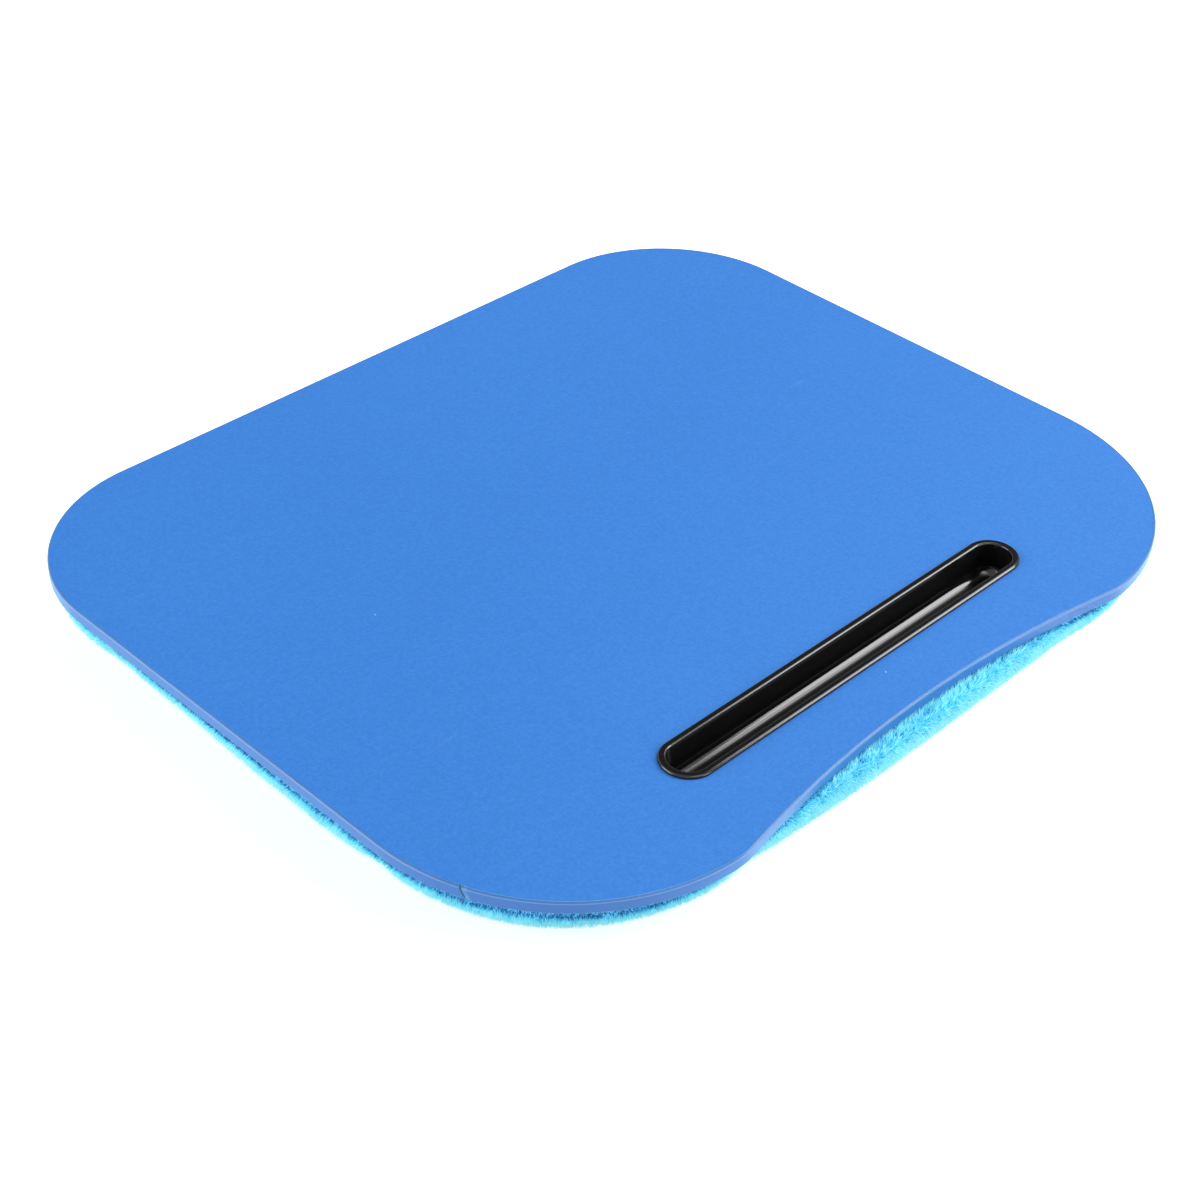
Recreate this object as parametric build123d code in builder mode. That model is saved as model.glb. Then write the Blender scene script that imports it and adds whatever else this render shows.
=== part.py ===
from build123d import *
import math
import os

# Lap tray with cushion
# A thin laminated board with a pen tray let into it lies on a plush cushion filled with beads.
# X runs across the lap, -Y points at the user and +Z is up. The origin is on the floor, under the
# middle of the board. Lengths are in millimetres and angles in degrees.

# Cut overrun, so that a cut always passes clean through the wall that it opens
overrun = 1.0

# Board: a pressed core between two laminates, with a band round its edge
board_width = 400.0
board_depth = 336.0
core_thickness = 4.0
top_laminate_thickness = 0.6
backing_laminate_thickness = 0.4
back_corner_radius = 69.0
front_corner_radius = 90.6
waist_cut_width = 220.0
waist_cut_depth = 11.3
waist_cut_blend_radius = 35.0

# Edge band: its ends meet in a slanted seam on the front left corner
band_thickness = 0.9
band_glue_gap = 0.05
band_top_chamfer = 0.5
band_seam_gap = 0.3
band_seam_turn = 23.3
band_seam_slant = 26.0

# Pen tray: a moulding that drops through the board and hangs on its rim
tray_length = 202.0
tray_width = 22.4
tray_rim_width = 3.1
tray_rim_height = 1.4
tray_depth = 12.9
tray_wall = 1.2
tray_draft = 2.5
tray_floor_radius = 4.0
tray_rim_outer_radius = 0.9
tray_rim_inner_chamfer = 0.5
tray_middle_from_front = 47.4
tray_slot_clearance = 0.3
snap_length = 14.0
snap_reach = 0.8
snap_height = 3.0
snap_clearance = 0.1
snap_pitch = 96.0

# Cushion: a plush pillow, crowned below and drawn in along its sides
cushion_height = 49.0
cushion_roll_turn = 65.0
cushion_roll_levels = 1
crown_run = 95.0
crown_floor_cut = 0.5
corner_fullness = 2.0
side_draw_in = 4.0
end_draw_in = 5.0
cover_thickness = 3.0
crown_levels = 15
room_levels = 12

# Lining: a plain cloth that closes the cushion under the board, with a pocket for the tray
lining_thickness = 1.0
lining_opening_margin = 28.0
lining_seam_allowance = 8.0
pocket_clearance = 1.2
pocket_floor_clearance = 0.5

# Beads: the loose fill, as the one body that it makes when the cushion is closed
fill_clearance = 0.3

# Fastening strips: hook strips on the board and loop strips on the lining
strip_length = 80.0
strip_width = 20.0
strip_side_margin = 22.0
strip_back_margin = 20.0
strip_tray_margin = 26.0

# Heights that follow from the sizes above
board_thickness = backing_laminate_thickness + core_thickness + top_laminate_thickness
board_bottom = cushion_height
core_bottom = board_bottom + backing_laminate_thickness
core_top = core_bottom + core_thickness
board_top = board_bottom + board_thickness
rim_top = board_top + tray_rim_height
tray_y = -board_depth / 2 + tray_middle_from_front
tray_floor = board_top - tray_depth
lining_top = cushion_height - cover_thickness
lining_bottom = lining_top - lining_thickness
pocket_floor = tray_floor - tray_wall - pocket_floor_clearance
cushion_roll_radius = cover_thickness / math.sin(math.radians(cushion_roll_turn))
girth_height = lining_top
crown_depth = girth_height + crown_floor_cut
strip_thickness = cover_thickness / 2

# Plan sizes that follow
tray_inner_length = tray_length - 2 * tray_rim_width
tray_inner_width = tray_width - 2 * tray_rim_width
tray_outer_length = tray_inner_length + 2 * tray_wall
tray_outer_width = tray_inner_width + 2 * tray_wall
tray_bottom_chamfer = (tray_floor_radius + tray_wall) * (2 - math.sqrt(2))
slot_length = tray_outer_length + 2 * tray_slot_clearance
slot_width = tray_outer_width + 2 * tray_slot_clearance
pocket_length = tray_outer_length + 2 * pocket_clearance
pocket_width = tray_outer_width + 2 * pocket_clearance
band_inset = band_thickness + band_glue_gap
strip_x = board_width / 2 - lining_opening_margin - strip_side_margin - strip_length / 2
strip_back_y = board_depth / 2 - lining_opening_margin - strip_back_margin - strip_width / 2
strip_front_y = tray_y + tray_width / 2 + strip_tray_margin + strip_width / 2

os.makedirs("parts", exist_ok=True)


def finish(builder, name):
    # Labels a finished piece and writes it out
    builder.part.label = name
    export_step(builder.part, f"parts/{name}.step")
    print(name, "done")


def board_outline(inset):
    # Draws the board's plan, a distance inset inside its edge: four rounded corners and a
    # shallow round cut at the waist, blended into the front corners
    cut_radius = (waist_cut_width**2 / 4 + waist_cut_depth**2) / (2 * waist_cut_depth)
    cut_middle = -board_depth / 2 + waist_cut_depth - cut_radius
    Rectangle(board_width - 2 * inset, board_depth - 2 * inset)
    fillet(vertices().group_by(Axis.Y)[-1], back_corner_radius - inset)
    fillet(vertices().group_by(Axis.Y)[0], front_corner_radius - inset)
    with Locations((0, cut_middle)):
        Circle(cut_radius + inset, mode=Mode.SUBTRACT)
    waist_arc = edges().filter_by(GeomType.CIRCLE).sort_by(SortBy.RADIUS)[-1]
    fillet(waist_arc.vertices(), waist_cut_blend_radius - inset)


def tray_slot(length, width, mode=Mode.ADD):
    # Draws a full-round slot where the pen tray lies
    with Locations((0, tray_y)):
        SlotOverall(length, width, mode=mode)


def cushion_outline(inset):
    # Draws one level of the cushion, a distance inset inside its front edge: the girth's outline,
    # drawn in between four rounded corners, made smaller in step all round
    full_width = board_width / 2 + corner_fullness
    full_depth = board_depth / 2 + corner_fullness
    shrink = 1 - inset / full_depth
    half_width, half_depth = full_width * shrink, full_depth * shrink
    left_front, right_front = (-half_width, -half_depth), (half_width, -half_depth)
    right_back, left_back = (half_width, half_depth), (-half_width, half_depth)
    with BuildLine() as border:
        SagittaArc(left_front, right_front, end_draw_in * shrink)
        SagittaArc(right_front, right_back, side_draw_in * shrink)
        SagittaArc(right_back, left_back, end_draw_in * shrink)
        SagittaArc(left_back, left_front, side_draw_in * shrink)
    make_face(border.edges())
    fillet(vertices().group_by(Axis.Y)[0], front_corner_radius * shrink)
    fillet(vertices().group_by(Axis.Y)[-1], back_corner_radius * shrink)


def pillow(skin, roll_levels, levels):
    # Makes the pillow's body a distance skin inside its surface. Its levels follow a small roll
    # up from the girth, and a quarter of an ellipse down from it to the flat that it rests on
    depth = crown_depth - skin
    run = crown_run - skin
    last_turn = math.asin((girth_height - skin) / depth)
    with BuildPart() as body:
        for level in range(roll_levels, 0, -1):
            turn = math.radians(cushion_roll_turn) * level / roll_levels
            with BuildSketch(Plane.XY.offset(girth_height + cushion_roll_radius * math.sin(turn))):
                cushion_outline(cushion_roll_radius * (1 - math.cos(turn)))
        for level in range(levels + 1):
            turn = last_turn * level / levels
            with BuildSketch(Plane.XY.offset(girth_height - depth * math.sin(turn))):
                cushion_outline(skin + run * (1 - math.cos(turn)))
        loft(ruled=True)
    return body.part


# Board: its core between the two laminates, each open where the pen tray drops through
board_layers = {
    "backing_laminate": (board_bottom, backing_laminate_thickness),
    "board_core": (core_bottom, core_thickness),
    "top_laminate": (core_top, top_laminate_thickness),
}
for name, (bottom, thickness) in board_layers.items():
    with BuildPart() as layer:
        with BuildSketch(Plane.XY.offset(bottom)):
            board_outline(band_inset)
            tray_slot(slot_length, slot_width, Mode.SUBTRACT)
        extrude(amount=thickness)
    finish(layer, name)

# Edge band
seam_turn = math.radians(180 + band_seam_turn)
seam_outward = Vector(math.cos(seam_turn), math.sin(seam_turn), 0)
seam_middle = Vector(
    -board_width / 2 + front_corner_radius,
    -board_depth / 2 + front_corner_radius,
    board_bottom + board_thickness / 2,
) + seam_outward * (front_corner_radius - band_thickness / 2)
with BuildPart() as edge_band:
    with BuildSketch(Plane.XY.offset(board_bottom)):
        board_outline(0)
    extrude(amount=board_thickness)
    chamfer(faces().sort_by(Axis.Z)[-1].edges(), band_top_chamfer)
    with BuildSketch(Plane.XY.offset(board_bottom)):
        board_outline(band_thickness)
    extrude(amount=board_thickness, mode=Mode.SUBTRACT)
    with BuildSketch(Plane(seam_middle, x_dir=(0, 0, 1), z_dir=seam_outward)):
        Rectangle(2 * board_thickness, band_seam_gap, rotation=band_seam_slant)
    extrude(amount=band_thickness / 2 + overrun, both=True, mode=Mode.SUBTRACT)
finish(edge_band, "edge_band")

# Hollow of the pen tray, from its rim down to its rounded floor
with BuildPart() as tray_hollow:
    with BuildSketch(Plane.XY.offset(rim_top)):
        tray_slot(tray_inner_length, tray_inner_width)
    extrude(amount=-(rim_top - tray_floor), taper=tray_draft)
    fillet(faces().sort_by(Axis.Z)[0].edges(), tray_floor_radius)

# Pen tray
with BuildPart() as pen_tray:
    with BuildSketch(Plane.XY.offset(board_top)):
        tray_slot(tray_length, tray_width)
    extrude(amount=tray_rim_height)
    fillet(faces().sort_by(Axis.Z)[-1].edges(), tray_rim_outer_radius)
    with BuildSketch(Plane.XY.offset(board_top)):
        tray_slot(tray_outer_length, tray_outer_width)
    extrude(amount=-(tray_depth + tray_wall), taper=tray_draft)
    chamfer(faces().sort_by(Axis.Z)[0].edges(), tray_bottom_chamfer)
    add(tray_hollow.part, mode=Mode.SUBTRACT)
    chamfer(faces().sort_by(Axis.Z)[-1].inner_wires()[0].edges(), tray_rim_inner_chamfer)
    snap_top = board_bottom - snap_clearance
    snap_back = tray_y + tray_inner_width / 2 + tray_wall / 2
    snap_tip = tray_y + tray_outer_width / 2 + tray_slot_clearance + snap_reach
    for across in (-snap_pitch / 2, snap_pitch / 2):
        with BuildSketch(Plane.YZ.offset(across)):
            with BuildLine():
                Polyline(
                    (snap_back, snap_top),
                    (snap_tip, snap_top),
                    (snap_back, snap_top - snap_height),
                    close=True,
                )
            make_face()
            mirror(about=Plane.YZ.offset(tray_y))
        extrude(amount=snap_length / 2, both=True)
finish(pen_tray, "pen_tray")

# Plush cover: its outer form less the room inside, open under the lining
cushion_body = pillow(0, cushion_roll_levels, crown_levels)
cushion_room = pillow(cover_thickness, 0, room_levels)
with BuildPart() as plush_cover:
    add(cushion_body)
    add(cushion_room, mode=Mode.SUBTRACT)
    with BuildSketch(Plane.XY.offset(lining_top)):
        cushion_outline(lining_opening_margin)
    extrude(amount=cover_thickness + overrun, mode=Mode.SUBTRACT)
finish(plush_cover, "plush_cover")

# Lining panel
with BuildPart() as lining_panel:
    with BuildSketch(Plane.XY.offset(lining_bottom)):
        cushion_outline(lining_opening_margin - lining_seam_allowance)
    extrude(amount=lining_thickness)
    with BuildSketch(Plane.XY.offset(lining_top)):
        tray_slot(pocket_length + 2 * lining_thickness, pocket_width + 2 * lining_thickness)
    extrude(amount=-(lining_top - pocket_floor + lining_thickness))
    with BuildSketch(Plane.XY.offset(lining_top)):
        tray_slot(pocket_length, pocket_width)
    extrude(amount=-(lining_top - pocket_floor), mode=Mode.SUBTRACT)
finish(lining_panel, "lining_panel")

# Bead filling
fill_body = pillow(cover_thickness + fill_clearance, 0, room_levels)
fill_top = lining_bottom - fill_clearance
well_length = pocket_length + 2 * (lining_thickness + fill_clearance)
well_width = pocket_width + 2 * (lining_thickness + fill_clearance)
with BuildPart() as bead_filling:
    add(fill_body)
    with BuildSketch(Plane.XY.offset(fill_top)):
        Rectangle(board_width, board_depth)
    extrude(amount=cushion_height - fill_top, mode=Mode.SUBTRACT)
    with BuildSketch(Plane.XY.offset(fill_top)):
        tray_slot(well_length, well_width)
    extrude(amount=-(fill_top - pocket_floor + lining_thickness + fill_clearance), mode=Mode.SUBTRACT)
finish(bead_filling, "bead_filling")

# Fastening strips: four hook strips glued under the board, and their loop strips on the lining
strip_places = {
    "back_left": (-strip_x, strip_back_y),
    "back_right": (strip_x, strip_back_y),
    "front_left": (-strip_x, strip_front_y),
    "front_right": (strip_x, strip_front_y),
}
strip_bottoms = {"hook_strip": board_bottom - strip_thickness, "loop_strip": lining_top}
for kind, bottom in strip_bottoms.items():
    for corner, place in strip_places.items():
        with BuildPart() as strip:
            with BuildSketch(Plane.XY.offset(bottom)):
                with Locations(place):
                    Rectangle(strip_length, strip_width)
            extrude(amount=strip_thickness)
        finish(strip, f"{kind}_{corner}")
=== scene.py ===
import math

import bmesh
import bpy
import numpy as np
from mathutils import Matrix, Vector
from mathutils.kdtree import KDTree


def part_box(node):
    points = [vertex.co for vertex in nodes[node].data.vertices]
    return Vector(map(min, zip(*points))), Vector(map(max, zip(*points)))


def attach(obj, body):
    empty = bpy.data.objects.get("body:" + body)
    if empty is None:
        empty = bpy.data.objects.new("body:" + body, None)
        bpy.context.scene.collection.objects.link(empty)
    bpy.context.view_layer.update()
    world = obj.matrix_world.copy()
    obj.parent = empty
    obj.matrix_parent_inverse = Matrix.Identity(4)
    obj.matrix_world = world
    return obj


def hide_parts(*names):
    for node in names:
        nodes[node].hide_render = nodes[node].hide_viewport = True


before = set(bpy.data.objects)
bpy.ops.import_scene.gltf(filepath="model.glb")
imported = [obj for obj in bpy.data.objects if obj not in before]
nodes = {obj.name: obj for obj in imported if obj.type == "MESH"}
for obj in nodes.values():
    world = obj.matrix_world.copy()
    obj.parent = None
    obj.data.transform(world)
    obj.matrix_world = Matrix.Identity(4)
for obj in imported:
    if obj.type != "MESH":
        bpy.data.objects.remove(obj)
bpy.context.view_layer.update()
scene = bpy.context.scene
mm = 0.001    # shapes are given in millimetres, the studio in metres
print("frame loaded:", len(nodes), "nodes")

boardLow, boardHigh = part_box("edge_band")
boardBottom, boardTop = boardLow[2] / mm, boardHigh[2] / mm


def faceOutward(thing):
    bm = bmesh.new()
    bm.from_mesh(thing.data)
    bmesh.ops.recalc_face_normals(bm, faces=bm.faces)
    bm.to_mesh(thing.data)
    bm.free()


def dress(piece, material):
    piece.data.materials.clear()
    piece.data.materials.append(material)


# Makes a mesh object from points in millimetres, riding on the one body of the tray
def makePiece(name, points, faces, look, stands, smooth=True):
    mesh = bpy.data.meshes.new(name)
    mesh.from_pydata((np.asarray(points, float) * mm).tolist(), [], [list(f) for f in faces])
    mesh.validate()
    mesh.polygons.foreach_set("use_smooth", [smooth] * len(mesh.polygons))
    piece = bpy.data.objects.new(name, mesh)
    scene.collection.objects.link(piece)
    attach(piece, "root")
    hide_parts(*stands)
    faceOutward(piece)
    dress(piece, materials[look])
    return piece


# Faces between closed rings that each have count points
def ringFaces(rings, count, start=0):
    faces = []
    for ring in range(rings - 1):
        low, high = start + ring * count, start + (ring + 1) * count
        for i in range(count):
            j = (i + 1) % count
            faces.append((low + i, low + j, high + j, high + i))
    return faces


# Sets values on the inputs of a node, and links those that are sockets
def feed(tree, node, values):
    for key, value in dict(values).items():
        if isinstance(value, bpy.types.NodeSocket):
            tree.links.new(value, node.inputs[key])
        else:
            node.inputs[key].default_value = value


def addNode(tree, kind, values=(), **settings):
    node = tree.nodes.new("ShaderNode" + kind)
    for key, value in settings.items():
        setattr(node, key, value)
    feed(tree, node, values)
    return node


def addMath(tree, operation, *terms):
    return addNode(tree, "Math", enumerate(terms), operation=operation).outputs[0]


# Node groups that several finishes use, each with one output
def newGroup(name, inputs, output):
    group = bpy.data.node_groups.new(name, "ShaderNodeTree")
    for label in inputs:
        group.interface.new_socket(label, in_out="INPUT", socket_type="NodeSocketFloat")
    group.interface.new_socket(output, in_out="OUTPUT", socket_type="NodeSocketFloat")
    given, out = group.nodes.new("NodeGroupInput"), group.nodes.new("NodeGroupOutput")
    place = addNode(group, "TexCoord").outputs["Object"]
    return group, given.outputs, place, out.inputs[output]


def buildGrain():
    group, given, place, out = newGroup("mouldedGrain", ("Cell", "Pebble"), "Height")
    cells = addNode(group, "TexVoronoi", {"Vector": place, "Scale": given["Cell"]},
                    feature="SMOOTH_F1")
    soft = addNode(group, "TexNoise", {
        "Vector": place, "Scale": addMath(group, "MULTIPLY", given["Cell"], 0.45),
        "Detail": 3.0, "Roughness": 0.6})
    mix = addNode(group, "Mix", {"Factor": given["Pebble"], "A": soft.outputs["Fac"],
                                 "B": cells.outputs["Distance"]})
    group.links.new(mix.outputs["Result"], out)
    return group


def buildDrift():
    group, given, place, out = newGroup("toneDrift", ("Scale", "Contrast"), "Tone")
    cloud = addNode(group, "TexNoise", {"Vector": place, "Scale": given["Scale"],
                                        "Detail": 4.0, "Roughness": 0.55})
    away = addMath(group, "SUBTRACT", cloud.outputs["Fac"], 0.5)
    more = addMath(group, "MULTIPLY", away, given["Contrast"])
    group.links.new(addMath(group, "ADD", more, 0.5), out)
    return group


def buildSpecks():
    group, given, place, out = newGroup("dustSpecks", ("Scale", "Size", "Share"), "Mask")
    cells = addNode(group, "TexVoronoi", {"Vector": place, "Scale": given["Scale"]})
    near = addMath(group, "LESS_THAN", cells.outputs["Distance"], given["Size"])
    split = addNode(group, "SeparateColor", {0: cells.outputs["Color"]})
    chosen = addMath(group, "LESS_THAN", split.outputs[0], given["Share"])
    group.links.new(addMath(group, "MULTIPLY", near, chosen), out)
    return group


def buildScuffs():
    group, given, place, out = newGroup("fineScuffs", ("Scale", "Amount"), "Mask")
    turn = addNode(group, "Mapping", {"Vector": place, "Rotation": (0.0, 0.0, 0.7),
                                      "Scale": (1.0, 14.0, 1.0)})
    lines = addNode(group, "TexNoise", {
        "Vector": turn.outputs["Vector"], "Scale": given["Scale"],
        "Detail": 6.0, "Roughness": 0.7, "Distortion": 0.4})
    sharp = addNode(group, "MapRange", {"Value": lines.outputs["Fac"],
                                        "From Min": 0.66, "From Max": 0.72})
    group.links.new(addMath(group, "MULTIPLY", sharp.outputs["Result"], given["Amount"]), out)
    return group


def buildWeave():
    group, given, place, out = newGroup("plainWeave", ("Scale",), "Height")
    split = addNode(group, "SeparateXYZ", {0: place})
    times = [addMath(group, "MULTIPLY", split.outputs[axis], given["Scale"]) for axis in "XY"]
    waves = [addMath(group, "SINE", each) for each in times]
    group.links.new(addMath(group, "MULTIPLY", *waves), out)
    return group


grain, drift, specks, scuffs, weave = (
    buildGrain(), buildDrift(), buildSpecks(), buildScuffs(), buildWeave())


def newMaterial(name, values):
    material = bpy.data.materials.new(name)
    material.use_nodes = True
    shader = material.node_tree.nodes["Principled BSDF"]
    feed(material.node_tree, shader, values)
    return material, material.node_tree, shader


# A finish: two close colours that drift into each other, pale marks, and a bump
def makeFinish(name, look):
    material, tree, shader = newMaterial(name, look.get("shader", {}))

    def place(group, values, output):
        return addNode(tree, "Group", values, node_tree=group).outputs[output]

    def blend(first, second, factor):
        return addNode(tree, "Mix", {"A": first, "B": second, "Factor": factor},
                       data_type="RGBA").outputs["Result"]

    tone = place(drift, look["drift"], "Tone")
    factor = tone
    if "mottle" in look:
        values, amount = look["mottle"]
        more = addMath(tree, "MULTIPLY_ADD", place(grain, values, "Height"), amount, tone)
        factor = addMath(tree, "SUBTRACT", more, amount / 2)
    colour = blend((*look["dark"], 1), (*look["light"], 1), factor)
    for group, key in ((specks, "specks"), (scuffs, "scuffs")):
        if key in look:
            colour = blend(colour, (*look["pale"], 1), place(group, look[key], "Mask"))
    # on the edge band, a pale line along its top rounding: partly whitened trimmed plastic, partly a
    # painted highlight
    if "trim" in look:
        mark = addNode(tree, "Attribute", attribute_name="trim")
        some = addMath(tree, "MULTIPLY", mark.outputs["Fac"], look["trim"])
        colour = blend(colour, (*look["pale"], 1), some)
    low, high = look["rough"]
    rough = addNode(tree, "MapRange", {"Value": tone, "To Min": low, "To Max": high})
    kind, values, strength, distance = look["bump"]
    bump = addNode(tree, "Bump", {"Strength": strength, "Distance": distance * mm,
                                  "Height": place(kind, values, "Height")})
    feed(tree, shader, {"Base Color": colour, "Roughness": rough.outputs["Result"],
                        "Normal": bump.outputs["Normal"]})
    return material


# bump: its pattern, the pattern's values, the strength, and the height in millimetres
finishes = {
    "blueLaminate": {
        "dark": (0.036, 0.191, 0.6), "light": (0.047, 0.221, 0.665), "pale": (0.33, 0.52, 0.83),
        "mottle": ({"Cell": 1300.0, "Pebble": 0.3}, 3.0),
        "drift": {"Scale": 5.0, "Contrast": 1.0}, "rough": (0.54, 0.62),
        "shader": {"Specular IOR Level": 0.2},
        "specks": {"Scale": 42.0, "Size": 0.016, "Share": 0.2},
        "scuffs": {"Scale": 9.0, "Amount": 0.05},
        "bump": (grain, {"Cell": 1100.0, "Pebble": 0.6}, 0.9, 0.16)},
    "blueEdge": {
        # its pale colour goes on the cut end and along the top rounding, in part a painted highlight
        "dark": (0.026, 0.12, 0.4), "light": (0.038, 0.15, 0.48), "pale": (0.48, 0.74, 0.95),
        "drift": {"Scale": 18.0, "Contrast": 1.6}, "rough": (0.25, 0.33), "trim": 0.22,
        "shader": {"Specular IOR Level": 0.3, "Sheen Weight": 0.9, "Sheen Roughness": 0.35,
                   "Sheen Tint": (0.35, 0.9, 0.95, 1)},
        "bump": (grain, {"Cell": 1500.0, "Pebble": 0.4}, 0.25, 0.04)},
    "blackMoulding": {
        "dark": (0.0055, 0.0055, 0.006), "light": (0.008, 0.008, 0.009), "pale": (0.02, 0.02, 0.02),
        "drift": {"Scale": 40.0, "Contrast": 1.2}, "rough": (0.08, 0.13),
        "specks": {"Scale": 260.0, "Size": 0.03, "Share": 0.1},
        "bump": (grain, {"Cell": 700.0, "Pebble": 0.2}, 0.08, 0.03)},
    "plushGround": {
        "dark": (0.03, 0.37, 0.7), "light": (0.06, 0.52, 0.85),
        "drift": {"Scale": 160.0, "Contrast": 2.0}, "rough": (0.85, 0.95),
        "shader": {"Sheen Weight": 0.2},
        "bump": (grain, {"Cell": 700.0, "Pebble": 0.9}, 0.8, 0.4)},
    "liningCloth": {
        "dark": (0.16, 0.17, 0.18), "light": (0.24, 0.25, 0.27),
        "drift": {"Scale": 60.0, "Contrast": 1.5}, "rough": (0.85, 0.95),
        "bump": (weave, {"Scale": 5200.0}, 0.6, 0.2)},
    "foamBeads": {
        "dark": (0.72, 0.73, 0.74), "light": (0.86, 0.86, 0.86),
        "drift": {"Scale": 200.0, "Contrast": 1.5}, "rough": (0.6, 0.75),
        "bump": (grain, {"Cell": 330.0, "Pebble": 1.0}, 1.0, 1.2)},
    "fibreboard": {
        "dark": (0.20, 0.115, 0.055), "light": (0.33, 0.21, 0.11), "pale": (0.5, 0.38, 0.24),
        "drift": {"Scale": 220.0, "Contrast": 2.4}, "rough": (0.8, 0.92),
        "specks": {"Scale": 500.0, "Size": 0.2, "Share": 0.2},
        "bump": (grain, {"Cell": 1400.0, "Pebble": 0.3}, 0.6, 0.15)},
    "backingLaminate": {
        "dark": (0.30, 0.30, 0.30), "light": (0.36, 0.36, 0.355), "pale": (0.5, 0.5, 0.5),
        "drift": {"Scale": 20.0, "Contrast": 1.4}, "rough": (0.5, 0.6),
        "scuffs": {"Scale": 12.0, "Amount": 0.2},
        "bump": (grain, {"Cell": 1100.0, "Pebble": 0.6}, 0.4, 0.07)},
    "hookTape": {
        "dark": (0.012, 0.012, 0.014), "light": (0.022, 0.022, 0.025),
        "drift": {"Scale": 90.0, "Contrast": 1.5}, "rough": (0.45, 0.6),
        "bump": (weave, {"Scale": 4200.0}, 0.5, 0.15)},
    "loopTape": {
        "dark": (0.014, 0.014, 0.016), "light": (0.03, 0.03, 0.033),
        "drift": {"Scale": 300.0, "Contrast": 2.0}, "rough": (0.85, 0.95),
        "shader": {"Sheen Weight": 0.3},
        "bump": (weave, {"Scale": 4200.0}, 0.6, 0.2)},
}
# a duller copy of the black for the tray's hollow, with a darker colour that is painted shade
finishes["blackHollow"] = {
    **finishes["blackMoulding"], "dark": (0.0045, 0.0045, 0.005), "light": (0.007, 0.007, 0.008),
    "rough": (0.2, 0.28), "shader": {"Specular IOR Level": 0.12}}
materials = {name: makeFinish(name, look) for name, look in finishes.items()}
dress(nodes["board_core"], materials["fibreboard"])
dress(nodes["top_laminate"], materials["blueLaminate"])
dress(nodes["backing_laminate"], materials["backingLaminate"])
print("finishes made:", len(materials))


# Board edge: the plan as points and outward directions, in steps along its arcs
boardEdge = {
    "halfWidth": 200.0, "halfDepth": 168.0, "backRadius": 69.0, "frontRadius": 90.6,
    "waistRadius": 541.05, "waistCentre": -697.75, "blendRadius": 35.0,
    "step": 2.5, "straightStep": 15.0,
    "thick": 0.94, "roundTop": 0.8, "roundBottom": 0.35, "roundSteps": 5, "roundMargin": 0.05,
    # how pale the top of the rounding is painted, in part a painted highlight
    "trimOnTop": 0.25,
    "seamTurn": 203.3, "seamGap": 0.7, "seamSlant": 26.0, "slantReach": 16.0, "cutFace": 0.25,
}


def arcPoints(centre, radius, first, last, step, outward=1):
    count = max(2, math.ceil(abs(math.radians(last - first)) * radius / step))
    turns = np.radians(np.linspace(first, last, count + 1))
    ways = np.stack([np.cos(turns), np.sin(turns)], 1)
    return np.asarray(centre) + radius * ways, ways * outward


def linePoints(first, last, outward, step):
    first, last = np.asarray(first, float), np.asarray(last, float)
    count = max(2, math.ceil(np.linalg.norm(last - first) / step))
    shares = np.linspace(0, 1, count + 1)[:, None]
    return first + (last - first) * shares, np.tile(outward, (count + 1, 1))


# Joins stretches end to end, each without its last point
def joinStretches(stretches):
    return (np.concatenate([p[:-1] for p, n in stretches]),
            np.concatenate([n[:-1] for p, n in stretches]))


def edgeStretches(e):
    step, straight, front, back = (e[k] for k in ("step", "straightStep", "frontRadius", "backRadius"))
    cornerX, cornerY = e["halfWidth"] - front, -e["halfDepth"] + front
    backX, backY = e["halfWidth"] - back, e["halfDepth"] - back
    # the blend circle touches the front corner from inside and the waist circle from outside
    waist = np.array([0.0, e["waistCentre"]])
    corner = np.array([cornerX, cornerY])
    reachCorner, reachWaist = front - e["blendRadius"], e["waistRadius"] + e["blendRadius"]
    apart = np.linalg.norm(waist - corner)
    along = (reachCorner**2 - reachWaist**2 + apart**2) / (2 * apart)
    off = math.sqrt(reachCorner**2 - along**2)
    way = (waist - corner) / apart
    blend = corner + way * along + np.array([-way[1], way[0]]) * off
    leftCorner, leftBlend = corner * (-1, 1), blend * (-1, 1)
    cornerTurn = math.degrees(math.atan2(*(leftBlend - leftCorner)[::-1])) % 360
    blendTurn = math.degrees(math.atan2(*(waist - leftBlend)[::-1])) % 360
    cutTurn = math.degrees(e["cutFace"] / front)
    return [
        arcPoints(leftCorner, front, e["seamTurn"], cornerTurn, step),
        arcPoints(leftBlend, e["blendRadius"], cornerTurn, blendTurn, step),
        arcPoints(waist, e["waistRadius"], blendTurn - 180, 360 - blendTurn, step, -1),
        arcPoints(blend, e["blendRadius"], 540 - blendTurn, 540 - cornerTurn, step),
        arcPoints(corner, front, 540 - cornerTurn, 360, step),
        linePoints((e["halfWidth"], cornerY), (e["halfWidth"], backY), (1, 0), straight),
        arcPoints((backX, backY), back, 0, 90, step),
        linePoints((backX, e["halfDepth"]), (-backX, e["halfDepth"]), (0, 1), straight),
        arcPoints((-backX, backY), back, 90, 180, step),
        linePoints((-e["halfWidth"], backY), (-e["halfWidth"], cornerY), (-1, 0), straight),
        arcPoints(leftCorner, front, 180, e["seamTurn"] - cutTurn, step),
        arcPoints(leftCorner, front, e["seamTurn"] - cutTurn, e["seamTurn"], step),
    ]


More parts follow.
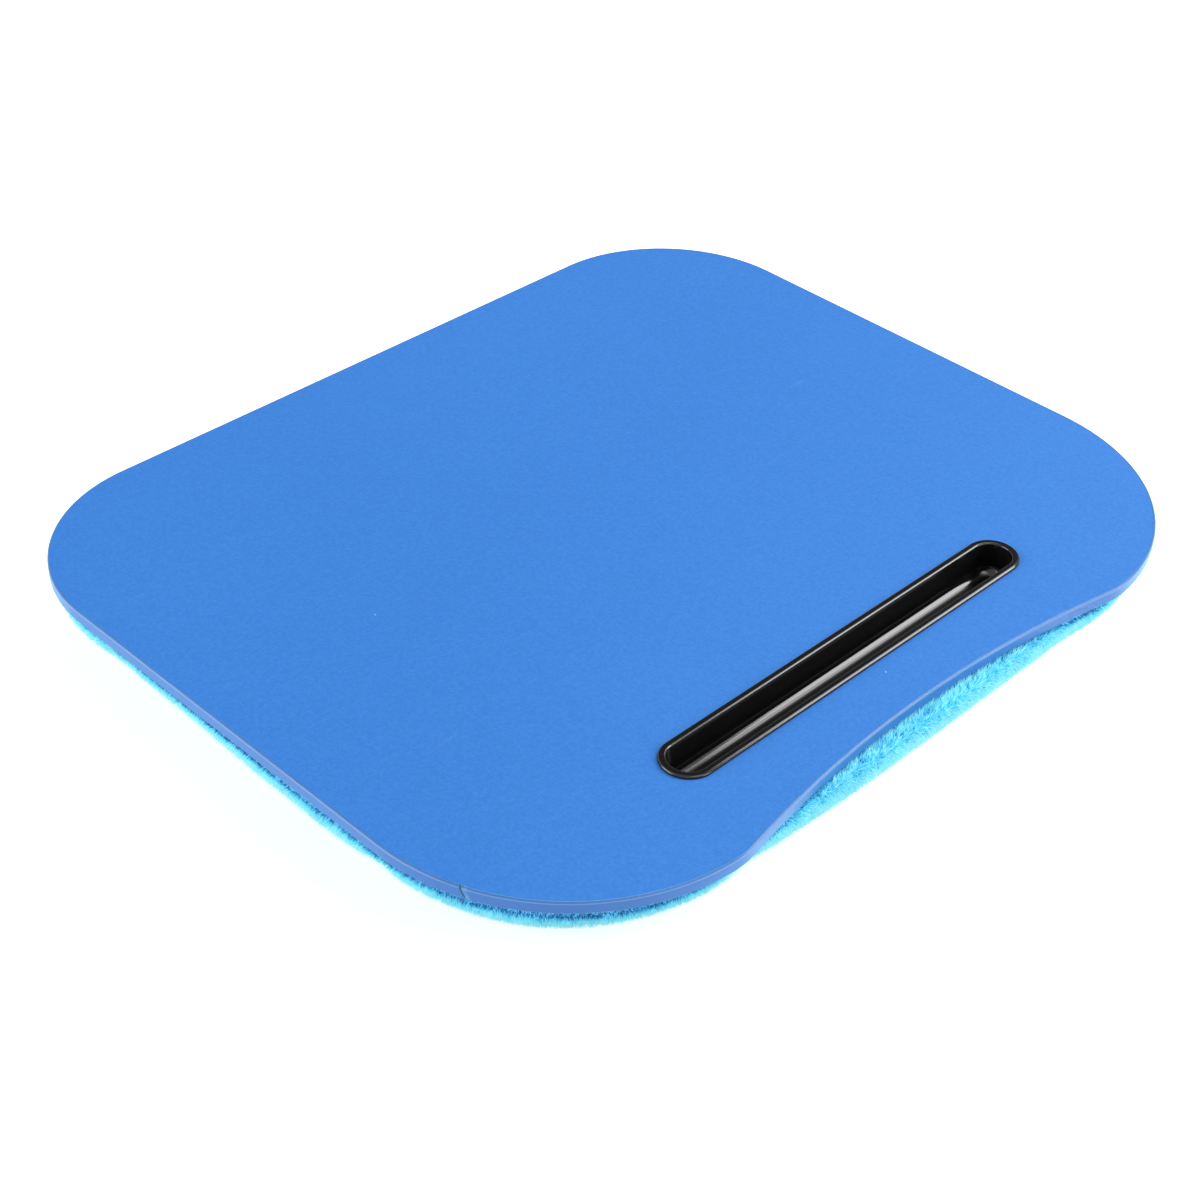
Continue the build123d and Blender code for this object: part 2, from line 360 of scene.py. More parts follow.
def makeEdgeBand(e):
    stretches = edgeStretches(e)
    path, outward = (np.vstack([joined, last[-1]])
                     for joined, last in zip(joinStretches(stretches), stretches[-1]))
    # profile: distance in from the edge, and height above the band's bottom
    tall = boardTop - boardBottom
    turns = np.linspace(0, math.pi / 2, e["roundSteps"] + 1)
    low, top, margin = e["roundBottom"], e["roundTop"], e["roundMargin"]
    profile = [(e["thick"], 0.0)]
    profile += [(low - low * math.sin(t), low - low * math.cos(t)) for t in turns]
    profile += [(0.0, low + margin), (0.0, tall / 2), (0.0, tall - top - margin)]
    roundingStart = len(profile)
    profile += [(top - top * math.cos(t), tall - top + top * math.sin(t)) for t in turns]
    profile += [(e["thick"], tall)]
    inward, height = np.array(profile).T
    count = len(profile)
    # the ends slant: each point near an end moves along the corner's arc by its height
    centre = np.array([-e["halfWidth"] + e["frontRadius"], -e["halfDepth"] + e["frontRadius"]])
    travelled = np.concatenate([[0], np.cumsum(np.linalg.norm(np.diff(path, axis=0), axis=1))])
    rings = []
    for spot, way, gone in zip(path, outward, travelled):
        left = travelled[-1] - gone
        nearEnd = max(0.0, 1 - min(gone, left) / e["slantReach"])
        half = e["seamGap"] / 2 * (1 if gone < left else -1)
        shift = nearEnd * (half - math.tan(math.radians(e["seamSlant"])) * (height - tall / 2))
        flat = spot - way * inward[:, None]
        if nearEnd > 0:
            turn = shift / e["frontRadius"]
            rel = flat - centre
            flat = centre + np.stack([rel[:, 0] * np.cos(turn) - rel[:, 1] * np.sin(turn),
                                      rel[:, 0] * np.sin(turn) + rel[:, 1] * np.cos(turn)], 1)
        rings.append(np.column_stack([flat, boardBottom + height]))
    points = np.concatenate(rings)
    faces = ringFaces(len(rings), count)
    faces += [list(range(count)), list(range(len(points) - count, len(points)))]
    piece = makePiece("edgeBand", points, faces, "blueEdge", ["edge_band"])
    # paler at its cut end and along its top rounding, most on the rounding's outer part and a little
    # on its top: partly whitened trimmed plastic, partly a painted highlight
    trim = np.zeros((len(rings), count))
    trim[:, roundingStart:roundingStart + 2] = 1.0
    trim[:, roundingStart + 2:] = e["trimOnTop"]
    trim[-1] = 1.0
    store = piece.data.attributes.new("trim", "FLOAT", "POINT")
    store.data.foreach_set("value", trim.astype(np.float32).ravel())
    piece.modifiers.new("evenShading", "WEIGHTED_NORMAL")
    return piece


edgeBand = makeEdgeBand(boardEdge)
print("edge band made:", len(edgeBand.data.polygons), "faces")


# Pen tray
penTray = {
    "middle": -120.6, "halfLength": 101.0, "halfWidth": 11.2, "rimHeight": 1.4, "rimWidth": 3.1,
    "rimRound": 0.9, "lipRound": 0.7, "depth": 12.9, "wall": 1.2, "floorRadius": 4.0,
    "draft": 2.5, "endSteps": 32, "sideSteps": 24, "outerSteps": 8, "innerSteps": 10,
    "capInset": 1.2, "rimSink": 0.02, "rimFoot": ((0.35, -0.02), (0.06, 0.02), (0.0, 0.12)),
    "rimFlat": (0.5, 0.3), "wallHeights": (-0.2, -2.2, -4.4),
    "dullBelow": 0.12, "dullAbove": 0.998, "slotGap": 0.3,
    "snapAt": 48.0, "snapHalf": 7.0, "snapTall": 3.0, "snapReach": 0.8, "snapDrop": 0.1,
    "snapCorner": 0.15,
}


# A ring of the tray's full-round plan, a distance in from its outside
def trayRing(t, inward, height):
    radius = t["halfWidth"] - inward
    ends = t["halfLength"] - t["halfWidth"]
    right = np.radians(np.linspace(-90, 90, t["endSteps"] + 1))
    left = np.radians(np.linspace(90, 270, t["endSteps"] + 1))
    along = np.linspace(-ends, ends, t["sideSteps"] + 1)[1:-1]
    points = [(ends + radius * math.cos(a), radius * math.sin(a)) for a in right]
    points += [(x, radius) for x in along[::-1]]
    points += [(-ends + radius * math.cos(a), radius * math.sin(a)) for a in left]
    points += [(x, -radius) for x in along]
    return [(x, t["middle"] + y, boardTop + height) for x, y in points]


# Closes a ring across, from one long side to the other
def trayCap(t, start, count):
    half = t["endSteps"] // 2
    order = [start + (half + i) % count for i in range(count)]
    faces = []
    for i in range(count // 2):
        a, b = order[(-i) % count], order[(-i - 1) % count]
        c, d = order[(i + 1) % count], order[i]
        faces.append([v for k, v in enumerate((a, b, c, d)) if v not in (a, b, c, d)[:k]])
    return [f for f in faces if len(f) > 2]


def makePenTray(t):
    turns = np.linspace(0, math.pi / 2, t["outerSteps"] + 1)
    fine = np.linspace(0, math.pi / 2, t["innerSteps"] + 1)
    high, lip, lean = t["rimHeight"], t["lipRound"], math.tan(math.radians(t["draft"]))
    rim, rimRound, deep = t["rimWidth"], t["rimRound"], t["floorRadius"]
    wallAt = lambda z: rim + (high - z) * lean
    middle = wallAt(-t["depth"] + deep) + deep
    centre = -t["depth"] + deep
    outer = deep + t["wall"]
    rings = [(middle + t["capInset"], -t["depth"] - t["wall"])]
    rings += [(middle - outer * math.sin(a), centre - outer * math.cos(a)) for a in turns]
    rings += [(rim - t["wall"], -t["rimSink"]), *t["rimFoot"]]
    rings += [(rimRound - rimRound * math.cos(a), high - rimRound + rimRound * math.sin(a))
              for a in fine]
    rings += [(rimRound + t["rimFlat"][0], high), (rim - lip - t["rimFlat"][1], high)]
    rings += [(rim - lip + lip * math.sin(a), high - lip + lip * math.cos(a)) for a in fine]
    rings += [(wallAt(z), z) for z in t["wallHeights"]]
    rings += [(middle - deep * math.cos(a), centre - deep * math.sin(a)) for a in fine]
    rings += [(middle + t["capInset"], -t["depth"])]
    points = [p for inward, height in rings for p in trayRing(t, inward, height)]
    count = len(points) // len(rings)
    faces = ringFaces(len(rings), count)
    faces += trayCap(t, 0, count) + trayCap(t, len(points) - count, count)
    snapTop = boardBottom - t["snapDrop"]
    back, cut = t["halfWidth"] - rim + t["wall"] / 2, t["snapCorner"]
    tip = t["halfWidth"] - rim + t["wall"] + t["slotGap"] + t["snapReach"]
    shape = [(back, 0.0), (tip - cut, 0.0), (tip, -cut), (tip, -2 * cut), (back, -t["snapTall"])]
    for side in (-1, 1):
        for across in (-t["snapAt"], t["snapAt"]):
            start = len(points)
            for x in (across - t["snapHalf"], across + t["snapHalf"]):
                points += [(x, t["middle"] + side * y, snapTop + z) for y, z in shape]
            faces += ringFaces(2, len(shape), start=start)
            end = start + len(shape)
            faces += [list(range(start, end)), list(range(end, len(points)))]
    piece = makePiece("penTray", points, faces, "blackMoulding", ["pen_tray"])
    # the hollow's flat floor and steep walls take a duller copy of the black with a darker colour, a
    # painted shade inside the hollow
    piece.data.materials.append(materials["blackHollow"])
    for face in piece.data.polygons:
        inside = face.center.z / mm < boardTop - t["lipRound"]
        if inside and not t["dullBelow"] < abs(face.normal.z) < t["dullAbove"]:
            face.material_index = 1
    return piece


tray = makePenTray(penTray)
print("pen tray made:", len(tray.data.polygons), "faces")


# Cushion
cushion = {
    "halfWidth": 202.0, "halfDepth": 170.0, "frontRadius": 90.6, "backRadius": 69.0,
    "drawFront": 5.0, "drawSide": 4.0, "girth": 46.0, "crownRun": 95.0, "crownDepth": 46.5,
    "topAt": 47.7, "pile": 1.8, "skin": 2.2, "hemAt": 46.05, "floorAt": 1.1,
    "step": 1.0, "round": 260,
    # the skin's rings: how far in those under the board lie, the turn at its top, the crown
    "topInsets": (28.0, 20.0, 13.0, 8.0), "topRound": 2.6, "topTurns": (1.05, 0.6, 0.25),
    "crownLevels": 26,
    "floorShares": (0.12, 0.25, 0.38, 0.5, 0.61, 0.71, 0.8, 0.87, 0.93, 0.97, 0.992),
    # how much fuller or flatter the girth is, every 15 degrees round from the right, anticlockwise
    "fullness": [-1.0, -0.5, -0.2, -0.1, -0.2, -0.4, -0.8, -1.3, -1.8, -2.1, -1.9, -0.1,
                 1.8, 1.8, -4.6, -7.0, -3.2, -0.5, -0.2, -1.2, -2.5, -2.7, -2.3, -1.6],
    "fullnessSweeps": 12,
    "swell": 4.0, "simFrames": 20, "pressure": 4.0, "stiffness": 12.0, "bending": 0.6, "quality": 6,
}
# the skin's ring at its widest, and the one where its floor begins
girthRing = len(cushion["topInsets"]) + 1 + len(cushion["topTurns"])
floorRing = girthRing + cushion["crownLevels"] - 1


# The girth's plan: a rounded rectangle whose sides draw in between its corners
def girthPlan(c):
    wide, deep = c["halfWidth"], c["halfDepth"]
    front, back, step = c["frontRadius"], c["backRadius"], c["step"]
    stretches = [
        arcPoints((wide - front, front - deep), front, -90, 0, step),
        linePoints((wide, front - deep), (wide, deep - back), (1, 0), step),
        arcPoints((wide - back, deep - back), back, 0, 90, step),
        linePoints((wide - back, deep), (back - wide, deep), (0, 1), step),
        arcPoints((back - wide, deep - back), back, 90, 180, step),
        linePoints((-wide, deep - back), (-wide, front - deep), (-1, 0), step),
        arcPoints((front - wide, front - deep), front, 180, 270, step),
        linePoints((front - wide, -deep), (wide - front, -deep), (0, -1), step),
    ]
    path, outward = joinStretches(stretches)
    shareX, shareY = path[:, 0] / wide, path[:, 1] / deep
    path = path - np.column_stack([
        np.sign(shareX) * c["drawSide"] * (1 - shareY**2) * shareX**4,
        np.sign(shareY) * c["drawFront"] * (1 - shareX**2) * shareY**4])
    # even steps round
    ring = np.vstack([path, path[:1]])
    gone = np.concatenate([[0], np.cumsum(np.linalg.norm(np.diff(ring, axis=0), axis=1))])
    even = np.linspace(0, gone[-1], c["round"], endpoint=False)
    spots = np.column_stack([np.interp(even, gone, ring[:, k]) for k in (0, 1)])
    ways = np.roll(spots, -1, 0) - np.roll(spots, 1, 0)
    ways = np.column_stack([ways[:, 1], -ways[:, 0]]) / np.linalg.norm(ways, axis=1)[:, None]
    turn = np.degrees(np.arctan2(spots[:, 1], spots[:, 0])) % 360
    full = c["fullness"]
    knots = np.arange(-1, len(full) + 2)
    extra = np.interp(turn, knots * 360 / len(full), np.take(full, knots, mode="wrap"))
    for sweep in range(c["fullnessSweeps"]):
        extra = (np.roll(extra, 1) + 2 * extra + np.roll(extra, -1)) / 4
    return spots + ways * extra[:, None]


# Levels of the skin, from the opening under the board, round the girth and down to the floor
def skinLevels(c):
    inside, turn, roll = c["pile"], c["topRound"], c["topAt"] - c["girth"]
    levels = [(inset, c["topAt"]) for inset in (*c["topInsets"], inside + turn)]
    levels += [(inside + turn * (1 - math.cos(a)), c["girth"] + roll * math.sin(a))
               for a in c["topTurns"]]
    depth, run = c["crownDepth"] - inside, c["crownRun"] - inside
    last = math.asin(min(1.0, (c["girth"] - c["floorAt"]) / depth))
    for a in np.linspace(0, last, c["crownLevels"]):
        levels.append((inside + run * (1 - math.cos(a)), c["girth"] - depth * math.sin(a)))
    edge = levels[-1][0]
    levels += [(edge + (c["halfDepth"] - edge) * share, c["floorAt"])
               for share in c["floorShares"]]
    return levels


def ringsOf(c, levels, plan):
    return np.array([np.column_stack([plan * (1 - inset / c["halfDepth"]),
                                      np.full(len(plan), height)]) for inset, height in levels])


# Blows the closed skin up a little with a cloth simulation, its top and its floor held
def swellSkin(c, rings):
    count = rings.shape[1]
    points = rings.reshape(-1, 3)
    faces = ringFaces(len(rings), count)
    lid, base = len(points), len(points) + 1
    points = np.vstack([points, [0, 0, rings[0, 0, 2]], [0, 0, rings[-1, 0, 2]]])
    faces += [(lid, (i + 1) % count, i) for i in range(count)]
    last = lid - count
    faces += [(base, last + i, last + (i + 1) % count) for i in range(count)]
    mesh = bpy.data.meshes.new("skinTrial")
    mesh.from_pydata((points * mm).tolist(), [], faces)
    trial = bpy.data.objects.new("skinTrial", mesh)
    scene.collection.objects.link(trial)
    faceOutward(trial)
    held = trial.vertex_groups.new(name="held")
    held.add([*range((girthRing + 1) * count), *range(floorRing * count, base + 1)], 1.0, "REPLACE")
    cloth = trial.modifiers.new("swell", "CLOTH")
    settings = cloth.settings
    settings.vertex_group_mass = "held"
    settings.use_pressure = True
    settings.uniform_pressure_force = c["pressure"]
    settings.effector_weights.gravity = 0.0
    settings.tension_stiffness = settings.compression_stiffness = c["stiffness"]
    settings.bending_stiffness = c["bending"]
    settings.quality = c["quality"]
    cloth.point_cache.frame_start, cloth.point_cache.frame_end = 1, c["simFrames"]
    for step in range(1, c["simFrames"] + 1):
        scene.frame_set(step)
    shown = trial.evaluated_get(bpy.context.evaluated_depsgraph_get())
    moved = np.zeros(len(points) * 3)
    shown.data.vertices.foreach_get("co", moved)
    moved = moved.reshape(-1, 3) / mm - points
    far = np.linalg.norm(moved, axis=1, keepdims=True)
    print("cushion swelled by up to %.1f mm" % far.max())
    moved *= np.minimum(1, c["swell"] / np.maximum(far, 1e-9))
    bpy.data.objects.remove(trial)
    scene.frame_set(1)
    result = (points + moved)[:lid].reshape(rings.shape)
    result[:, :, 2] = np.clip(result[:, :, 2], c["floorAt"], c["topAt"])
    return result


# Outward direction at each point of a grid of rings
def gridNormals(rings):
    around = np.roll(rings, -1, 1) - np.roll(rings, 1, 1)
    down = np.empty_like(rings)
    down[1:-1] = rings[2:] - rings[:-2]
    down[0], down[-1] = rings[1] - rings[0], rings[-1] - rings[-2]
    ways = np.cross(down, around)
    return ways / np.maximum(np.linalg.norm(ways, axis=2, keepdims=True), 1e-9)


plan = girthPlan(cushion)
skin = ringsOf(cushion, skinLevels(cushion), plan)
skin = swellSkin(cushion, skin)
out = gridNormals(skin)
if (out[girthRing] * skin[girthRing])[:, :2].sum() < 0:
    out = -out


def makeCover(c, rings, ways):
    count = rings.shape[1]
    inner = rings - ways * c["skin"]
    flat = rings[:, :, 2] > c["topAt"] - 0.01
    inner[flat] = rings[flat]
    inner[flat, 2] = c["hemAt"]
    points = np.concatenate([inner[::-1].reshape(-1, 3), rings.reshape(-1, 3)])
    faces = ringFaces(2 * len(rings), count)
    last = len(points) - count
    for height, start in ((inner[-1, 0, 2], 0), (rings[-1, 0, 2], last)):
        points = np.vstack([points, [0, 0, height]])
        middle = len(points) - 1
        faces += [(middle, start + i, start + (i + 1) % count) for i in range(count)]
    piece = makePiece("plushCover", points, faces, "plushGround", ["plush_cover"])
    return piece


cover = makeCover(cushion, skin, out)
print("plush cover made:", len(cover.data.polygons), "faces")


# Lining, filling and fastening strips
well = {
    "pocketHalfLength": 100.3, "pocketHalfWidth": 10.5, "pocketFloor": 39.4, "cloth": 1.0,
    "liningTop": 46.0, "liningInset": 20.0, "gap": 0.3, "bottomRound": 1.4,
    "fillTop": 44.6, "fillGap": 0.4, "fillLedge": 0.3, "cornerSteps": 4, "floorInset": 2.0,
}


# Rings of a full-round well, from its mouth down to its floor with a rounded corner
def wellRings(w, grow, mouth):
    shape = {**penTray, "halfLength": w["pocketHalfLength"] + grow,
             "halfWidth": w["pocketHalfWidth"] + grow}
    floor, corner = w["pocketFloor"] - grow, w["bottomRound"]
    levels = [(0.0, mouth)]
    levels += [(corner - corner * math.cos(a), floor + corner - corner * math.sin(a))
               for a in np.linspace(0, math.pi / 2, w["cornerSteps"] + 1)]
    levels += [(corner + w["floorInset"], floor)]
    return np.array([trayRing(shape, inward, height - boardTop) for inward, height in levels])


# A flat face between an outer and an inner ring, in triangles
def flatBetween(points, outer, inner):
    bm = bmesh.new()
    verts = {i: bm.verts.new(points[i]) for i in (*outer, *inner)}
    edges = [bm.edges.new((verts[ring[k]], verts[ring[(k + 1) % len(ring)]]))
             for ring in (outer, inner) for k in range(len(ring))]
    back = {vert: i for i, vert in verts.items()}
    bmesh.ops.triangle_fill(bm, edges=edges, use_beauty=True)
    faces = [[back[vert] for vert in face.verts] for face in bm.faces]
    bm.free()
    return faces


def makeFilling(w, c, rings, ways):
    body = rings[girthRing:] - ways[girthRing:] * (c["skin"] + w["fillGap"])
    body[:, :, 2] = np.minimum(body[:, :, 2], w["fillTop"])
    body = body[np.nonzero(body[:, :, 2].min(1) < w["fillTop"] - w["fillLedge"])[0][0] - 1:]
    body[0, :, 2] = w["fillTop"]
    count, bodyPoints = body.shape[1], body.reshape(-1, 3)
    hollow = wellRings(w, w["cloth"] + w["gap"], w["fillTop"])
    points = np.concatenate([bodyPoints, hollow.reshape(-1, 3), [[0, 0, body[-1, 0, 2]]]])
    start, around = len(bodyPoints), hollow.shape[1]
    faces = ringFaces(len(body), count) + ringFaces(len(hollow), around, start=start)
    faces += trayCap(penTray, start + (len(hollow) - 1) * around, around)
    last = start - count
    faces += [(len(points) - 1, last + (i + 1) % count, last + i) for i in range(count)]
    faces += flatBetween(points, range(count), range(start, start + around))
    piece = makePiece("beadFilling", points, faces, "foamBeads", ["bead_filling"])


def makeLining(w, c):
    border = plan * (1 - w["liningInset"] / c["halfDepth"])
    count = len(border)
    points, faces = np.zeros((0, 3)), []
    for grow, top in ((0.0, w["liningTop"]), (w["cloth"], w["liningTop"] - w["cloth"])):
        start = len(points)
        pocket = wellRings(w, grow, top)
        around = pocket.shape[1]
        points = np.concatenate([points, np.column_stack([border, np.full(count, top)]),
                                 pocket.reshape(-1, 3)])
        mouth = start + count
        faces += flatBetween(points, range(start, mouth), range(mouth, mouth + around))
        faces += ringFaces(len(pocket), around, start=mouth)
        faces += trayCap(penTray, mouth + (len(pocket) - 1) * around, around)
    half = len(points) // 2
    faces += [(i, (i + 1) % count, half + (i + 1) % count, half + i) for i in range(count)]
    piece = makePiece("liningPanel", points, faces, "liningCloth", ["lining_panel"])


makeFilling(well, cushion, skin, out)
makeLining(well, cushion)

strips = {
    "tape": 0.5, "corner": 2.0, "margin": 1.6, "pitchLong": 2.1, "pitchAcross": 1.7,
    "thick": 0.16, "seed": 11,
    # a stem's reach sideways, and its line in shares of its reach and its height
    "hook": (0.45, [(0, 0), (0, 0.55), (0.35, 0.92), (0.8, 1.0), (1.0, 0.7)]),
    "loop": (0.8, [(-0.5, 0), (-0.55, 0.5), (0, 1.0), (0.55, 0.5), (0.5, 0)]),
}


# A tape with rounded corners that lies at a height, as thick as told
def makeTape(name, low, high, bottom, top, node, kind):
    r = strips["corner"]
    ring = []
    for x, y, first in ((high[0] - r, high[1] - r, 0), (low[0] + r, high[1] - r, 90),
                        (low[0] + r, low[1] + r, 180), (high[0] - r, low[1] + r, 270)):
        turns = np.radians(np.arange(first, first + 91, 15))
        ring += [(x + r * math.cos(a), y + r * math.sin(a)) for a in turns]
    points = [(x, y, z) for z in (bottom, top) for x, y in ring]
    faces = ringFaces(2, len(ring)) + [list(range(len(ring))), list(range(len(ring), len(points)))]
    return makePiece(name, points, faces, kind + "Tape", [node], smooth=False)


# A thin bent stem that follows points, four-sided and closed at both ends
def stemPoints(line, across, thick, start):
    points = [spot + across * dx * thick / 2 + np.array([0, 0, dz * thick / 2])
              for spot in line for dx, dz in ((-1, -1), (1, -1), (1, 1), (-1, 1))]
    end = start + len(points)
    ends = [list(range(start, start + 4)), list(range(end - 4, end))]
    return points, ringFaces(len(line), 4, start=start) + ends


def makeStrip(corner, kind, s):
    node = "%s_strip_%s" % (kind, corner)
    low, high = (np.array(v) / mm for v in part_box(node))
    title = "".join(word.capitalize() for word in corner.split("_"))
    hook = kind == "hook"
    # hooks hang down from the board, loops stand up from the lining, and they meet halfway
    base, way = (high[2], -1) if hook else (low[2], 1)
    edge = base + way * s["tape"]
    tape = makeTape(kind + "Tape" + title, low, high, min(base, edge), max(base, edge), node, kind)
    rng = np.random.default_rng(s["seed"])
    tall = high[2] - low[2] - s["tape"] - s["thick"] / 2
    reach, shape = s[kind]
    points, faces = [], []
    for x in np.arange(low[0] + s["margin"], high[0] - s["margin"], s["pitchLong"]):
        for y in np.arange(low[1] + s["margin"], high[1] - s["margin"], s["pitchAcross"]):
            turn = 0.0 if hook else rng.random() * math.pi
            ahead = np.array([math.cos(turn), math.sin(turn), 0])
            across = np.array([-ahead[1], ahead[0], 0])
            foot = np.array([x, y, edge])
            line = [foot + ahead * u * reach + np.array([0, 0, way * v * tall]) for u, v in shape]
            more, sides = stemPoints(line, across, s["thick"], len(points))
            points += more
            faces += sides
    field = makePiece(kind + "s" + title, points, faces, kind + "Tape", [node],
                      smooth=False)


for corner in ("back_left", "back_right", "front_left", "front_right"):
    for kind in ("hook", "loop"):
        makeStrip(corner, kind, strips)
print("lining, filling and strips made")


# Pile: short tufts that lean together in clumps
pile = {
    "spacing": 0.68, "underSpacing": 0.85, "length": 2.6, "lengthSpread": 0.5, "root": 0.25,
    "sunk": 0.3, "stand": 0.9, "droop": 0.2, "lowest": 0.05,
    # rings of the skin where tufts and clumps begin, and how far before the floor they thin out
    "fromRing": 3, "clumpsFrom": 2, "underFrom": 4,
    # how much shorter tufts get under the board's edge, and where they turn dark there, a painted
    # shade
    "tuck": 0.6, "tuckShadeReach": 2.2, "tuckShadeFade": 1.5,
    # tips rise beside the board, from this far below the girth and this far outside the outline
    "rise": 1.7, "riseBelow": 4.0, "riseOutside": 0.6, "wrapBelow": 3.0, "wrapGap": 0.15,
    "clump": 2.1, "gather": 0.4, "nap": 0.4, "stray": 0.85, "seed": 7, "pieces": 8,
    "soften": 0.4,
    # colours from root to tip: the dark root colour is painted shade deep in the pile, the pale tip
    # colour painted light
    "colours": {0.16: (0.004, 0.12, 0.4), 0.42: (0.13, 0.75, 0.95), 0.85: (0.45, 0.93, 0.97)},
    # how much a tuft's own tone, its clump's share of it and the drift move it along the colours
    "tone": 0.9, "clumpTone": 0.45, "drift": 0.25, "along": 0.5, "rough": (0.7, 0.9),
    "shader": {"Specular IOR Level": 0.08, "Sheen Weight": 0.5, "Sheen Roughness": 0.4,
               "Sheen Tint": (0.45, 0.93, 0.97, 1)},
}


def makePileFinish(p):
    material, tree, shader = newMaterial("turquoisePile", p["shader"])
    # each tuft's colour runs with its height from the dark root, painted shade, to the pale tip,
    # painted light, and its random tone and the drift move it further
    height, tone = (addNode(tree, "Attribute", attribute_name=name).outputs["Fac"]
                    for name in ("reach", "tone"))
    cloud = addNode(tree, "Group", {"Scale": 180.0, "Contrast": 1.6}, node_tree=drift)
    own = addMath(tree, "MULTIPLY_ADD", tone, p["tone"], height)
    both = addMath(tree, "MULTIPLY_ADD", cloud.outputs["Tone"], p["drift"], own)
    ramp = addNode(tree, "ValToRGB", {"Fac": addMath(tree, "MULTIPLY", both, p["along"])})
    stops = ramp.color_ramp.elements
    stops.new(0.5)
    for stop, (position, colour) in zip(stops, p["colours"].items()):
        stop.position, stop.color = position, (*colour, 1)
    low, high = p["rough"]
    rough = addNode(tree, "MapRange", {"Value": cloud.outputs["Tone"], "To Min": low, "To Max": high})
    feed(tree, shader, {"Base Color": ramp.outputs["Color"], "Roughness": rough.outputs["Result"]})
    return material


# Scatters points over the grid of rings, as many as its area asks for
def scatter(rings, ways, firstRing, spacing, rng):
    ahead = np.roll(rings, -1, 1)
    a, b = rings[firstRing:-1], ahead[firstRing:-1]
    d, e = rings[firstRing + 1:], ahead[firstRing + 1:]
    area = (np.linalg.norm(np.cross(b - a, d - a), axis=2)
            + np.linalg.norm(np.cross(e - b, e - d), axis=2)) / 2
    number = rng.poisson(area / spacing**2)
    level, turn = np.nonzero(number)
    times = number[level, turn]
    level, turn = np.repeat(level, times), np.repeat(turn, times)
    u, v = rng.random((2, len(level), 1))
    follow = (turn + 1) % rings.shape[1]

    def blend(field):
        upper, lower = (field[row, turn] * (1 - u) + field[row, follow] * u
                        for row in (firstRing + level, firstRing + level + 1))
        return upper * (1 - v) + lower * v

    spots, normals = blend(rings), blend(ways)
    return spots, normals / np.linalg.norm(normals, axis=1, keepdims=True)


# For each spot, the number of the nearest of the points
def nearestOf(points, spots):
    tree = KDTree(len(points))
    for i, point in enumerate(points):
        tree.insert((*point, 0)[:3], i)
    tree.balance()
    return np.array([tree.find((*spot, 0)[:3])[1] for spot in spots])


